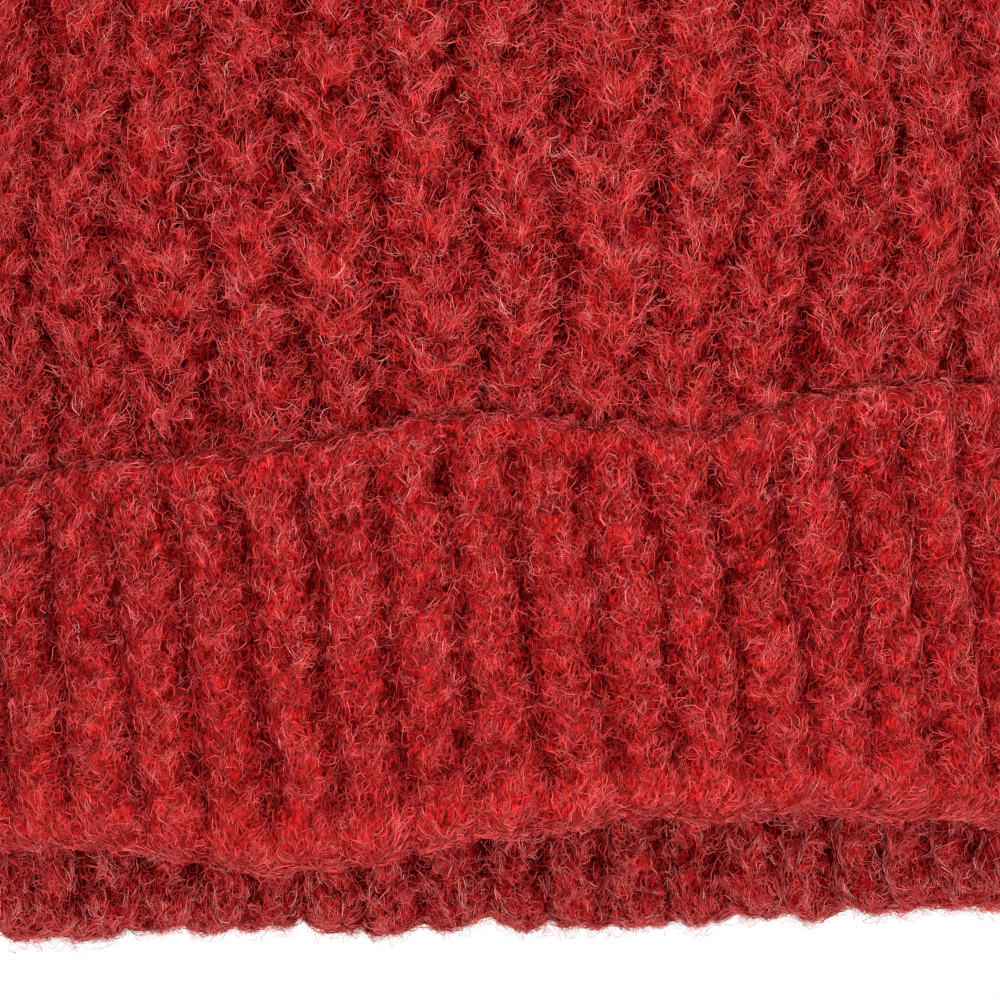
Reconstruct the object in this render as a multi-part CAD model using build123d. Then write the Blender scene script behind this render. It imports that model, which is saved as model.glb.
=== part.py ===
from build123d import *
from math import radians, tan
import os

# Pom pom beanie: a ribbed, brushed knit hat with a turned-up cuff and a pom pom that presses on to
# the crown with a ring-spring snap. All sizes are millimetres. The origin is the middle of the rim's
# resting face; +Z runs up through the crown, +X across the front, and the front faces -Y.

# ---- driving sizes: cuff ---------------------------------------------------------------------
cuff_half_width = 107.0     # outer surface, along X
cuff_half_depth = 76.0      # outer surface, along Y
cuff_height = 65.0          # turned-up height at the middle of the front
cuff_slope = 5.4            # degrees: the cuff is turned up taller towards +X
cuff_knit = 6.0             # thickness of one layer of cuff knit
fold_gap = 0.8              # air between the two layers above the fold
fold_height = 7.0           # height of the solid turn at the rim
rim_round = 2.6             # rounding of the rim's two lower edges
edge_round = 1.6            # rounding of the cuff's free top edge
join_height = 45.0          # where the cuff's inner layer meets the body knit, behind the cuff

# ---- driving sizes: body ---------------------------------------------------------------------
body_knit_thick = 6.0       # thickness of the body knit
body_straight_top = 80.0    # the tube is straight up to here, inside the cuff
crown_height = 200.0        # top of the knit
# Silhouette above the straight tube: (share of the rise to the crown, share of the tube's width).
silhouette = [(0.0, 1.0), (0.15, 1.045), (0.4, 1.055), (0.66, 0.965), (0.85, 0.765), (0.95, 0.54), (1.0, 0.3)]
crown_hole_radius = 4.4     # the drawn-up hole in the middle of the crown

# ---- driving sizes: seams, crown yarn and label ----------------------------------------------
seam_width = 4.0
seam_thick = 2.0
seam_bottom = 22.0
seam_top_clear = 10.0       # the seam stops this far below the inside of the crown
gather_yarn_radius = 1.4
label_length = 28.0
label_height = 16.0
label_thick = 0.8
label_bottom = 26.0
label_rest_angle = 14.0     # degrees from the wall
soft_clear = 0.3            # gap that soft pieces keep from what they lie against

# ---- driving sizes: snap ---------------------------------------------------------------------
washer_radius = 13.0
washer_thick = 2.0
rivet_flange_radius = 6.0
rivet_flange_thick = 0.8
rivet_post_radius = 1.9
post_clear = 0.1
stud_flange_radius = 6.2
stud_flange_thick = 0.8
stud_head_radius = 3.2
stud_waist_radius = 2.7
stud_head_height = 3.4      # above the flange
stud_waist_low = 0.7        # above the flange
stud_waist_high = 1.7       # above the flange
socket_radius = 6.2
socket_roof = 0.8
socket_clear = 0.2          # stud to socket, all round
ring_wire_radius = 0.35
ring_clear = 0.1            # stud head to ring wire
ring_groove_clear = 0.15

# ---- driving sizes: pom ----------------------------------------------------------------------
pom_radius = 52.0
button_flange_radius = 10.0
button_flange_thick = 1.6
button_boss_radius = 6.4
button_roof = 1.6
socket_seat = 1.0           # how far the socket sits up inside the button
knot_radius = 3.6
knot_clear = 0.3
tie_cord_radius = 1.3
tie_cord_clear = 0.3
cord_swing = 24.0           # degrees: how far the button's mouth lets the cord lean
binding_loop_radius = 6.0
pom_seat_clear = 4.0        # pom to the top of the crown
pom_hollow_clear = 0.4      # hollow under the pom to the base button's edge

# ---- places worked out from the sizes --------------------------------------------------------
body_half_width = cuff_half_width - cuff_knit - fold_gap
body_half_depth = cuff_half_depth - cuff_knit - fold_gap
inner_crown = crown_height - body_knit_thick

stud_top = crown_height + stud_flange_thick + stud_head_height
socket_bottom = crown_height + stud_flange_thick + socket_clear
socket_cavity_top = stud_top + socket_clear
socket_top = socket_cavity_top + socket_roof
ring_height = crown_height + stud_flange_thick + (stud_waist_low + stud_waist_high) / 2
ring_radius = stud_head_radius + ring_clear + ring_wire_radius
button_bottom = socket_top - socket_seat
knot_centre = socket_top + knot_clear + knot_radius
button_top = knot_centre + knot_radius + knot_clear + button_roof
pom_bottom = crown_height + pom_seat_clear
pom_centre = pom_bottom + pom_radius
button_reach = (button_flange_radius**2 + (knot_centre - button_bottom) ** 2) ** 0.5
pom_hollow_radius = button_reach + pom_hollow_clear


def disc(radius, low, high):
    """A round disc about the hat's axis, from height low to height high."""
    return Pos(0, 0, low) * Cylinder(radius, high - low, align=(Align.CENTER, Align.CENTER, Align.MIN))


def ring(outer, inner, low, high):
    """A flat ring about the hat's axis."""
    return disc(outer, low, high) - disc(inner, low - 1, high + 1)


def oval_bar(half_width, half_depth, low, high):
    """A straight bar with an oval section, standing from low to high."""
    return Pos(0, 0, low) * extrude(Ellipse(half_width, half_depth), amount=high - low)


def dome(inset, low):
    """The solid inside the body knit's outer surface, drawn in by inset all over.

    A straight oval tube from height low, then a skin through ovals that follow the silhouette."""
    half_width = body_half_width - inset
    half_depth = body_half_depth - inset
    rise = crown_height - inset - body_straight_top
    ovals = []
    for up, share in silhouette:
        oval = Ellipse(half_width * share, half_depth * share)
        ovals.append(Pos(0, 0, body_straight_top + up * rise) * oval)
    return oval_bar(half_width, half_depth, low, body_straight_top) + loft(ovals)


def gather_ring(section_radius):
    """A ring half way through the crown's knit, centred on the wall of the crown hole."""
    return Pos(0, 0, crown_height - body_knit_thick / 2) * Torus(crown_hole_radius, section_radius)


# ---- knit ------------------------------------------------------------------------------------
def make_body_knit():
    """Ribbed tube from the join behind the cuff up to the crown, with a grooved hole for the gather yarn."""
    inside = dome(body_knit_thick, join_height - 5)
    hole = disc(crown_hole_radius, inner_crown - 5, crown_height + 5)
    return dome(0, join_height) - inside - hole - gather_ring(gather_yarn_radius + soft_clear)


def make_turned_up_cuff():
    """Band folded up on itself: inner layer to the join, solid turn at the rim, sloping outer layer."""
    tallest = cuff_height + cuff_half_width
    outer = oval_bar(cuff_half_width, cuff_half_depth, 0, tallest)
    slope_cut = Pos(0, 0, cuff_height) * Rot(0, -cuff_slope, 0) * Box(
        4 * cuff_half_width, 4 * cuff_half_depth, 2 * tallest, align=(Align.CENTER, Align.CENTER, Align.MIN)
    )
    outer = outer - slope_cut
    layer_inside = oval_bar(cuff_half_width - cuff_knit, cuff_half_depth - cuff_knit, fold_height, 2 * tallest)
    outer = outer - layer_inside
    top_edges = outer.edges().filter_by(lambda edge: edge.center().Z > fold_height + 1)
    outer = fillet(top_edges, edge_round)
    inner = oval_bar(body_half_width, body_half_depth, fold_height, join_height)
    cuff = outer + inner
    opening_half_width = body_half_width - cuff_knit
    opening_half_depth = body_half_depth - cuff_knit
    cuff = cuff - oval_bar(opening_half_width, opening_half_depth, -1, join_height + 1)
    rim_edges = cuff.edges().filter_by(lambda edge: abs(edge.center().Z) < 0.01)
    return fillet(rim_edges, rim_round)


def make_back_seam():
    """Ridge of the seam up the inside of the back, from where the rim's soft turn ends to below the crown."""
    wall = body_knit_thick + soft_clear
    low = seam_bottom
    high = inner_crown - seam_top_clear
    strip = dome(wall, low) - dome(wall + seam_thick, low - 5)
    slot = Pos(0, 0, low) * Box(
        seam_width, cuff_half_depth, high - low, align=(Align.CENTER, Align.MIN, Align.MIN)
    )
    return strip & slot


def make_gather_yarn():
    """Loop of yarn through the last stitches, drawing them together round the crown hole."""
    return gather_ring(gather_yarn_radius)


def make_care_label():
    """Blank label, sewn to the seam's ridge by one short edge, resting a little off the wall."""
    seam_face = body_half_depth - body_knit_thick - soft_clear - seam_thick
    hinge_y = seam_face - soft_clear - label_thick / 2
    flag = Pos(0, 0, label_bottom) * Box(
        label_length, label_thick, label_height, align=(Align.MIN, Align.CENTER, Align.MIN)
    )
    return Pos(0, hinge_y, 0) * Rot(0, 0, -label_rest_angle) * flag


# ---- snap ------------------------------------------------------------------------------------
def make_crown_washer():
    """Felt washer against the inside of the crown."""
    return ring(washer_radius, rivet_post_radius + post_clear, inner_crown - washer_thick, inner_crown)


def make_stud_rivet():
    """Rivet with its flange under the washer and its post up through the crown into the stud."""
    under_washer = inner_crown - washer_thick
    flange = disc(rivet_flange_radius, under_washer - rivet_flange_thick, under_washer)
    post_top = crown_height + stud_flange_thick + stud_waist_low
    return flange + disc(rivet_post_radius, under_washer - rivet_flange_thick, post_top)


def make_snap_stud():
    """Flanged stud with a waist below its head, bored from below for the rivet's post."""
    flange_top = crown_height + stud_flange_thick
    stud = disc(stud_flange_radius, crown_height, flange_top)
    stud += disc(stud_head_radius, flange_top, stud_top)
    stud = fillet(stud.edges().filter_by(lambda edge: edge.center().Z > stud_top - 0.01), 0.8)
    waist = ring(
        stud_head_radius + 1, stud_waist_radius, flange_top + stud_waist_low, flange_top + stud_waist_high
    )
    post_room = disc(rivet_post_radius + post_clear, crown_height - 1, flange_top + stud_waist_low + post_clear)
    return stud - waist - post_room


def make_ring_spring():
    """Wire ring that rides in the socket's groove and grips the stud's waist."""
    return Pos(0, 0, ring_height) * Torus(ring_radius, ring_wire_radius)


def make_snap_socket():
    """Round cup over the stud, grooved inside for the ring spring."""
    socket = disc(socket_radius, socket_bottom, socket_top)
    socket = socket - disc(stud_head_radius + socket_clear, socket_bottom - 1, socket_cavity_top)
    groove_reach = ring_radius + ring_wire_radius + ring_groove_clear
    groove_half = ring_wire_radius + ring_groove_clear
    return socket - disc(groove_reach, ring_height - groove_half, ring_height + groove_half)


# ---- pom -------------------------------------------------------------------------------------
def make_base_button():
    """Moulded button: recess below for the socket, pocket for the knot, flared mouth for the cord."""
    button = disc(button_flange_radius, button_bottom, button_bottom + button_flange_thick)
    button += disc(button_boss_radius, button_bottom, button_top)
    button = fillet(button.edges().filter_by(lambda edge: edge.center().Z > button_top - 0.01), 1.2)
    button = button - disc(socket_radius, button_bottom - 1, socket_top)
    pocket_radius = knot_radius + knot_clear
    pocket = disc(pocket_radius, socket_top - 1, knot_centre) + Pos(0, 0, knot_centre) * Sphere(pocket_radius)
    cord_radius = tie_cord_radius + tie_cord_clear
    mouth_length = button_top - knot_centre + 1
    flare = mouth_length * tan(radians(cord_swing))
    mouth = Pos(0, 0, knot_centre + mouth_length / 2) * Cone(cord_radius, cord_radius + flare, mouth_length)
    return button - pocket - mouth


def make_tie_knot():
    """Round knot on the lower end of the tie cord."""
    return Pos(0, 0, knot_centre) * Sphere(knot_radius)


def make_tie_cord():
    """Cord from the knot to the middle of the pom, with the loop that binds the pom's yarn."""
    loop_bottom = pom_centre - binding_loop_radius
    stem = disc(tie_cord_radius, knot_centre + knot_radius + soft_clear, loop_bottom)
    loop = Pos(0, 0, pom_centre) * Rot(90, 0, 0) * Torus(binding_loop_radius, tie_cord_radius)
    return stem + loop


def make_pom_ball():
    """Ball of cut yarn, hollow over the base button and where the tie cord and its loop lie."""
    room = tie_cord_radius + tie_cord_clear
    channel = disc(room, pom_bottom - 1, pom_centre - binding_loop_radius)
    loop_room = Pos(0, 0, pom_centre) * Rot(90, 0, 0) * Torus(binding_loop_radius, room)
    hollow = Pos(0, 0, knot_centre) * Sphere(pom_hollow_radius)
    return Pos(0, 0, pom_centre) * Sphere(pom_radius) - channel - loop_room - hollow


nodes = {
    "body_knit": make_body_knit(),
    "turned_up_cuff": make_turned_up_cuff(),
    "back_seam_yarn": make_back_seam(),
    "crown_gather_yarn": make_gather_yarn(),
    "care_label": make_care_label(),
    "crown_washer": make_crown_washer(),
    "stud_rivet": make_stud_rivet(),
    "snap_stud": make_snap_stud(),
    "snap_ring_spring": make_ring_spring(),
    "snap_socket": make_snap_socket(),
    "pom_base_button": make_base_button(),
    "tie_knot": make_tie_knot(),
    "pom_tie_cord": make_tie_cord(),
    "pom_ball": make_pom_ball(),
}

os.makedirs("parts", exist_ok=True)
for name, shape in nodes.items():
    export_step(shape, f"parts/{name}.step")
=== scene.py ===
import math
import bpy
import numpy as np
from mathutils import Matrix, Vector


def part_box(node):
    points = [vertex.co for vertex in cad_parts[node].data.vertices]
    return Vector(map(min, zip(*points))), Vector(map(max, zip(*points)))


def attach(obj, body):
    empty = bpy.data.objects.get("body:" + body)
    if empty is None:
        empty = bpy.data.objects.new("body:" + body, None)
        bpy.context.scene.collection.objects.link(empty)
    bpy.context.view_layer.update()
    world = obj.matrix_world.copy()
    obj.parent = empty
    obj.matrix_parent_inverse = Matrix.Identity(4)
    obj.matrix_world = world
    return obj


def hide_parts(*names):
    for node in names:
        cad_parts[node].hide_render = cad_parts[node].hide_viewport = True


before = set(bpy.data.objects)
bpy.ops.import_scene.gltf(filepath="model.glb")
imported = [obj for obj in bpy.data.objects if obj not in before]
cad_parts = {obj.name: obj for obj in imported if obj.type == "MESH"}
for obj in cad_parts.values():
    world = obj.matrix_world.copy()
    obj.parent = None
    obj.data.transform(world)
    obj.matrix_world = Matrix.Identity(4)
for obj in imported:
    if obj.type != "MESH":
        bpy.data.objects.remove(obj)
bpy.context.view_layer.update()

MM = 0.001

# ---- Studio and camera -----------------------------------------------------------------------
# A pale paper floor in a white room, with soft lamps in front, beside, overhead and behind on both sides,
# and one low in front that reaches the rim. The camera stands far off and looks slightly up, so that the
# far side of the rim shows.


def node(tree, kind, inputs=(), **settings):
    """Adds a shader node. settings are its properties; inputs gives a socket's name or number its value, or
    the output socket that it is linked to."""
    made = tree.nodes.new("ShaderNode" + kind)
    for name, value in settings.items():
        setattr(made, name, value)
    for socket, value in dict(inputs).items():
        if isinstance(value, bpy.types.NodeSocket):
            tree.links.new(value, made.inputs[socket])
        else:
            made.inputs[socket].default_value = value
    return made


def colour(code):
    """An sRGB hex code as linear red, green, blue and alpha."""
    parts = [int(code[k:k + 2], 16) / 255 for k in (1, 3, 5)]
    return [p / 12.92 if p <= 0.04045 else ((p + 0.055) / 1.055) ** 2.4 for p in parts] + [1.0]


def new_material(name):
    """A node material with nothing in it, and its tree."""
    made = bpy.data.materials.new(name)
    made.use_nodes = True
    made.node_tree.nodes.clear()
    return made, made.node_tree


def add_object(name, data):
    """Puts mesh, lamp or camera data into the scene as an object at the origin."""
    made = bpy.data.objects.new(name, data)
    bpy.context.scene.collection.objects.link(made)
    return made


FLOOR_HALF = 1.6
FADE_FROM, FADE_TO = 0.25, 0.9   # distance from the hat over which the paper fades in to the room
floor_mesh = bpy.data.meshes.new("floor")
floor_corners = [(x * FLOOR_HALF, y * FLOOR_HALF, 0) for x, y in ((-1, -1), (1, -1), (1, 1), (-1, 1))]
floor_mesh.from_pydata(floor_corners, [], [(0, 1, 2, 3)])
floor = add_object("floor", floor_mesh)
# Matt paper. It is clear from below for a camera under it, and neither shades nor tints the hat.
floor_paper, tree = new_material("pale_matt_paper")
face = node(tree, "BsdfPrincipled", {"Base Color": colour("#f1efec"), "Roughness": 0.9})
clear = node(tree, "BsdfTransparent")
below = node(tree, "NewGeometry").outputs["Backfacing"]
place = node(tree, "TexCoord").outputs["Object"]
away = node(tree, "VectorMath", {0: place}, operation="LENGTH").outputs["Value"]
faded = node(tree, "MapRange", {0: away, "From Min": FADE_FROM, "From Max": FADE_TO},
             interpolation_type="SMOOTHSTEP").outputs[0]
unseen = node(tree, "Math", {0: below, 1: faded}, operation="MAXIMUM").outputs[0]
paper = node(tree, "MixShader", {0: unseen, 1: face.outputs[0], 2: clear.outputs[0]})
node(tree, "OutputMaterial", {0: paper.outputs[0]})
floor_mesh.materials.append(floor_paper)
floor.visible_diffuse = False
floor.visible_glossy = False
floor.visible_transmission = False
floor.visible_shadow = False

ROOM_LIGHT = 0.55                # light from the room's walls, which are plain white to look at
world = bpy.data.worlds.new("white_room")
world.use_nodes = True
bpy.context.scene.world = world
world.node_tree.nodes.clear()
seen = node(world.node_tree, "LightPath").outputs["Is Camera Ray"]
room_light = node(world.node_tree, "MapRange", {0: seen, "To Min": ROOM_LIGHT, "To Max": 1.0}).outputs[0]
white = node(world.node_tree, "Background", {"Color": (1, 1, 1, 1), "Strength": room_light})
node(world.node_tree, "OutputWorld", {0: white.outputs[0]})


def lamp(name, place, aim, size, power):
    """A square soft lamp at place, turned towards aim."""
    data = bpy.data.lights.new(name, "AREA")
    data.size = size
    data.energy = power
    x, y, z = np.subtract(aim, place)
    made = add_object(name, data)
    made.location = place
    made.rotation_euler = (math.atan2(math.hypot(x, y), -z), 0, math.atan2(y, x) - math.pi / 2)


lamp("front_lamp", (-0.5, -1.3, 0.9), (0, 0, 0.09), 0.45, 8.5)
lamp("side_lamp", (1.3, -0.7, 0.4), (0, 0, 0.09), 0.9, 4)
lamp("back_lamp_left", (-1.1, 1.4, 0.8), (0, 0, 0.1), 0.6, 28)
lamp("back_lamp_right", (1.1, 1.4, 0.8), (0, 0, 0.1), 0.6, 28)
lamp("top_lamp", (0.3, -0.3, 1.7), (0, 0, 0.15), 0.7, 12)
lamp("low_lamp", (0.2, -1.6, -0.35), (0, 0, 0.02), 0.5, 44)

cuff_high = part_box("turned_up_cuff")[1]
body_low, body_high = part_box("body_knit")
CAMERA_AWAY = 2.5
CAMERA_UNDER = math.radians(6.0)        # how far it looks up
CAMERA_ROLL = math.radians(1.3)
FRAME_WIDTH = 154 * MM                  # what the view spans at the hat's front
VIEW_HEIGHT = 56 * MM                   # height of the view's middle there
SENSOR = 36
camera_data = bpy.data.cameras.new("camera")
camera_data.sensor_width = SENSOR
camera_data.lens = SENSOR * CAMERA_AWAY / FRAME_WIDTH
camera_data.clip_end = 30
camera = add_object("camera", camera_data)
camera.location = (
    0, -cuff_high.y - CAMERA_AWAY * math.cos(CAMERA_UNDER), VIEW_HEIGHT - CAMERA_AWAY * math.sin(CAMERA_UNDER)
)
camera.rotation_euler = (math.pi / 2 + CAMERA_UNDER, CAMERA_ROLL, 0)
bpy.context.scene.camera = camera
bpy.context.scene.view_settings.view_transform = "Standard"

# ---- Body knit -------------------------------------------------------------------------------
# The tube and crown: chunky wool-blend yarn, machine knitted so that the wales stand up as columns of V
# stitches with sunken ones between. It was knitted on from the cuff, and drawn together at the crown.

KNIT = 6.0 * MM                 # thickness of one layer of knit, in the body and in the cuff
FOLD_GAP = 0.8 * MM             # air between the cuff's two layers
TUBE_HALF_WIDTH = cuff_high.x - KNIT - FOLD_GAP
TUBE_HALF_DEPTH = cuff_high.y - KNIT - FOLD_GAP
TUBE_TOP = 80.0 * MM            # the body is a straight tube up to here
CROWN_HOLE = 4.4 * MM
# Share of the rise from the tube to the crown, and the oval's share of the tube's size there.
RISE_SHARES = (0.0, 0.15, 0.4, 0.66, 0.85, 0.95, 1.0)
OVAL_SHARES = (1.0, 1.045, 1.055, 0.965, 0.765, 0.54, 0.3)
BODY_WALES = 40                 # wales round the body, 13.4 mm apart
BODY_COLUMNS = BODY_WALES * 10  # mesh columns
BODY_ROW = 8.0 * MM             # height of one stitch
BODY_STEP = 1.3 * MM            # mesh rows on the face of the knit
BACK_STEP = 4.0 * MM            # and on its back, which hardly shows
BODY_PHASE = -0.67              # places the crests round the hat, in wales


def smooth_step(value, low, high):
    """0 below low, 1 above high, and the cubic 3t^2 - 2t^3 between."""
    t = np.clip((value - low) / (high - low), 0, 1)
    return t * t * (3 - 2 * t)


def smooth_curve(at, xs, ys):
    """Curve through the knots (xs, ys): on each span the cubic with the knots' central slopes at its ends."""
    xs, ys = np.asarray(xs, float), np.asarray(ys, float)
    slopes = np.gradient(ys, xs)
    span = np.clip(np.searchsorted(xs, at, side="right") - 1, 0, len(xs) - 2)
    width = xs[span + 1] - xs[span]
    t = np.clip((at - xs[span]) / width, 0, 1)
    bend = slopes[span] * width * t * (1 - t) ** 2 - slopes[span + 1] * width * t**2 * (1 - t)
    return ys[span] + (ys[span + 1] - ys[span]) * t * t * (3 - 2 * t) + bend


def even_turns(count, half_width, half_depth):
    """Angles at even steps of arc round an oval from the middle of the back, and the arc's whole length:
    the lengths of small chords are summed, and the sum is read backwards."""
    fine = np.linspace(0, 2 * np.pi, 7201)
    chords = np.hypot(np.diff(half_width * np.sin(fine)), np.diff(half_depth * np.cos(fine)))
    arc = np.concatenate([[0], np.cumsum(chords)])
    return np.interp(np.arange(count) * arc[-1] / count, arc, fine), arc[-1]


def even_rows(path, step):
    """A path of (half width, half depth, height) resampled at even steps of about this length."""
    length = np.concatenate([[0], np.cumsum(np.linalg.norm(np.diff(path, axis=0), axis=1))])
    at = np.linspace(0, length[-1], round(length[-1] / step) + 1)
    return np.stack([np.interp(at, length, path[:, k]) for k in range(3)], 1)


def ovals(path, turns):
    """Points of an oval for each row of the path: x = -half width sin(turn), y = half depth cos(turn)."""
    width, depth, height = path[:, 0, None], path[:, 1, None], path[:, 2, None]
    return np.stack([-width * np.sin(turns), depth * np.cos(turns), height + 0 * turns], 2)


def unit(vectors):
    """The vectors at length one."""
    return vectors / np.maximum(np.linalg.norm(vectors, axis=-1, keepdims=True), 1e-12)


def outward(points):
    """Unit vectors out of a grid that closes both ways: the cross product of its central differences."""
    along = np.roll(points, -1, 1) - np.roll(points, 1, 1)
    up = np.roll(points, -1, 0) - np.roll(points, 1, 0)
    return unit(np.cross(along, up))


def soft_noise(shape, cells_up, cells_round, rng):
    """Noise from -1 to 1 on a grid that closes round: random values on a coarse net, and cubics between."""
    net = rng.uniform(-1, 1, (cells_up + 1, cells_round))
    y = np.linspace(0, cells_up - 1e-6, shape[0])[:, None]
    x = np.arange(shape[1]) * cells_round / shape[1]
    i, j = np.floor(y).astype(int), np.floor(x).astype(int)
    fy, fx, right = smooth_step(y - i, 0, 1), smooth_step(x - j, 0, 1), (j + 1) % cells_round
    low = net[i, j] * (1 - fx) + net[i, right] * fx
    high = net[i + 1, j] * (1 - fx) + net[i + 1, right] * fx
    return low * (1 - fy) + high * fy


def stitches(wale, row, leg_share, spread, fullness):
    """Rib knit at each (wale, row): its height, 0 in the valley and 1 on a crest, the height of the V's legs
    alone, and the yarn's heading. A wale is a cosine rib crossed by legs, a cosine of the row less 1.05
    reach^1.25, so they climb in a V from its middle and turn outwards to spread. Between two V's is a hole.
    leg_share is the legs' share of the height, and a full rib has a narrow valley beside it."""
    side = wale - np.round(wale)
    reach = 2 * np.abs(side)
    wave = 0.5 + 0.5 * np.cos(2 * np.pi * (row - 1.05 * reach**1.25))
    rib = np.clip(np.cos(np.pi * side), 0, 1) ** (1 / fullness)
    hole = np.exp(-((reach / 0.22) ** 2)) * (1 - wave)
    height = rib * (1 - leg_share + leg_share * wave) - 0.7 * leg_share * hole
    legs = wave * (1 - smooth_step(reach, 0.72, 0.95))
    heading = np.sign(side) * (0.1 + spread * smooth_step(reach, 0.0, 0.6))
    return height, legs, heading


def mesh_piece(name, points, corners, sizes, material, smooth, uv=None):
    """A mesh object from points, the corner numbers of all faces in turn, and each face's corner count."""
    mesh = bpy.data.meshes.new(name)
    mesh.vertices.add(len(points))
    mesh.vertices.foreach_set("co", np.ascontiguousarray(points, np.float32).ravel())
    mesh.loops.add(len(corners))
    mesh.loops.foreach_set("vertex_index", corners.astype(np.int32))
    mesh.polygons.add(len(sizes))
    mesh.polygons.foreach_set("loop_start", (np.cumsum(sizes) - sizes).astype(np.int32))
    mesh.update(calc_edges=True)
    mesh.polygons.foreach_set("use_smooth", np.full(len(sizes), smooth))
    if uv is not None:
        layer = mesh.uv_layers.new(name="OFBake", do_init=False)
        layer.uv.foreach_set("vector", uv.astype(np.float32).ravel())
    mesh.materials.append(material)
    return add_object(name, mesh)


def set_lie(made, lie):
    """Keeps how high each point lies in the yarn, 0 deep and 1 at the top, as an attribute of the piece. The
    yarn's material paints shade from it, darker where the yarn lies deep.
    """
    layer = made.data.attributes.new("lie", "FLOAT", "POINT")
    layer.data.foreach_set("value", lie.astype(np.float32).ravel())


def closed_grid(name, points, material, lie=None):
    """A piece over a grid of points that closes both ways, as a ring does."""
    rows, columns = points.shape[:2]
    i, j = np.meshgrid(np.arange(rows), np.arange(columns), indexing="ij")
    ring = [(i, j), (i, j + 1), (i + 1, j + 1), (i + 1, j)]
    corners = np.stack([(a % rows) * columns + b % columns for a, b in ring], 2).ravel()
    made = mesh_piece(name, points.reshape(-1, 3), corners, np.full(rows * columns, 4), material, True)
    if lie is not None:
        set_lie(made, lie)
    return made


def body_path(inset, step):
    """Rows of the body from the join to the crown hole, drawn in by inset: straight tube, dome and crown."""
    width, depth = TUBE_HALF_WIDTH - inset, TUBE_HALF_DEPTH - inset
    rise = body_high.z - inset - TUBE_TOP
    up = np.linspace(0, 1, 90)
    share = smooth_curve(up, RISE_SHARES, OVAL_SHARES)
    tube = [[width, depth, body_low.z], [width, depth, TUBE_TOP - 1 * MM]]
    dome = np.stack([width * share, depth * share, TUBE_TOP + up * rise], 1)
    hole = [[CROWN_HOLE, CROWN_HOLE, body_high.z - inset]]
    return even_rows(np.concatenate([tube, dome, hole]), step)


def ramp(tree, fac, stops):
    """A colour ramp node over fac with (place, hex colour) stops; gives its colour."""
    made = node(tree, "ValToRGB", {0: fac})
    band = made.color_ramp
    while len(band.elements) < len(stops):
        band.elements.new(0.5)
    for element, (place, code) in zip(band.elements, stops):
        element.position = place
        element.color = colour(code)
    return made.outputs[0]


# Plied wool-blend yarn under its fuzz: matt deep red, with painted shade that turns it near black where it
# lies deep, and streaked along the stitches by its fibres, drawn 0.3 mm apart because the real ones are too
# fine to show.
STREAK = 0.3 * MM
knit_yarn, tree = new_material("plied_wool_blend_knit")
place = node(tree, "TexCoord").outputs["Object"]
stretched = node(tree, "Mapping", {"Vector": place, "Scale": (1, 1, 0.4)}).outputs[0]
streaks = node(tree, "TexNoise", {
    "Vector": stretched, "Scale": 0.5 / STREAK, "Detail": 3.0, "Roughness": 0.7, "Distortion": 1.0,
}).outputs["Fac"]
# Painted shade: the lower the yarn lies, the darker its colour, down to near black.
lie = node(tree, "Attribute", attribute_name="lie").outputs["Fac"]
lit = node(tree, "Math", {0: streaks, 1: 3.0, 2: lie}, operation="MULTIPLY_ADD").outputs[0]
depth = node(tree, "MapRange", {0: lit, "From Min": 1.1, "From Max": 3.2}).outputs[0]
yarn_red_and_painted_shade = ramp(tree, depth, [(0.22, "#040000"), (0.46, "#420304"), (0.7, "#961315"), (1.0, "#cc2a2c")])
bump = node(tree, "Bump", {"Height": streaks, "Strength": 0.6, "Distance": 0.4 * MM}).outputs[0]
yarn = node(tree, "BsdfPrincipled", {
    "Base Color": yarn_red_and_painted_shade, "Roughness": 0.9, "Specular IOR Level": 0.0, "Normal": bump,
})
node(tree, "OutputMaterial", {0: yarn.outputs[0]})

rng = np.random.default_rng(11)
body_turns, body_round = even_turns(BODY_COLUMNS, TUBE_HALF_WIDTH, TUBE_HALF_DEPTH)
body_outer = body_path(0, BODY_STEP)
body_back = body_path(KNIT, BACK_STEP)[::-1]
body_base = ovals(np.concatenate([body_outer, body_back]), body_turns)
body_out = outward(body_base)
face_shape = (len(body_outer), BODY_COLUMNS)
body_wale = np.arange(BODY_COLUMNS) * BODY_WALES / BODY_COLUMNS + BODY_PHASE
body_wale = body_wale + 0.2 * soft_noise(face_shape, 16, 40, rng)
body_row = np.arange(len(body_outer))[:, None] * BODY_STEP / BODY_ROW
body_row = body_row + 0.55 * soft_noise(face_shape, 18, 60, rng)
body_height, body_legs, body_heading = stitches(body_wale, body_row, 0.36, 0.65, 2.6)
body_height = body_height * (1 + 0.25 * soft_noise(face_shape, 60, 160, rng))
BODY_DEPTH = 1.6 * MM           # valley to crest
CREST_PROUD = 0.7 * MM          # crest over the plain solid's surface
drawn_in = smooth_step(body_outer[:, 0], 8 * MM, 30 * MM)[:, None]
body_rise = (body_height * BODY_DEPTH - BODY_DEPTH + CREST_PROUD) * (0.25 + 0.75 * drawn_in)
body_rise += 0.6 * MM * soft_noise(face_shape, 70, 190, rng) * drawn_in
back_wale = np.arange(BODY_COLUMNS)[None, :] * BODY_WALES / BODY_COLUMNS
back_rise = -0.6 * MM + 0.6 * MM * np.cos(2 * np.pi * back_wale) * smooth_step(body_back[:, :1], 0.01, 0.04)
body_points = body_base + body_out * np.concatenate([body_rise, back_rise])[:, :, None]
# Painted shade: the yarn's lie, low in the valleys of the face, and one middle value all over its back.
body_lie = np.concatenate([0.08 + 0.75 * body_height, 0.6 + 0 * back_rise])
body_knit = closed_grid("body_fabric", body_points, knit_yarn, body_lie)
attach(body_knit, "hat")
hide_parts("body_knit")

# ---- Fuzz on the body ------------------------------------------------------------------------
# Brushing has teased fibres out of the yarn. Tufts of them still lie along the legs of the stitches, the
# rest are matted over the face in all directions, and a few long ones stand off it. A patch about the snap
# stands up, where the gathered stitches crowd together.


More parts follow.
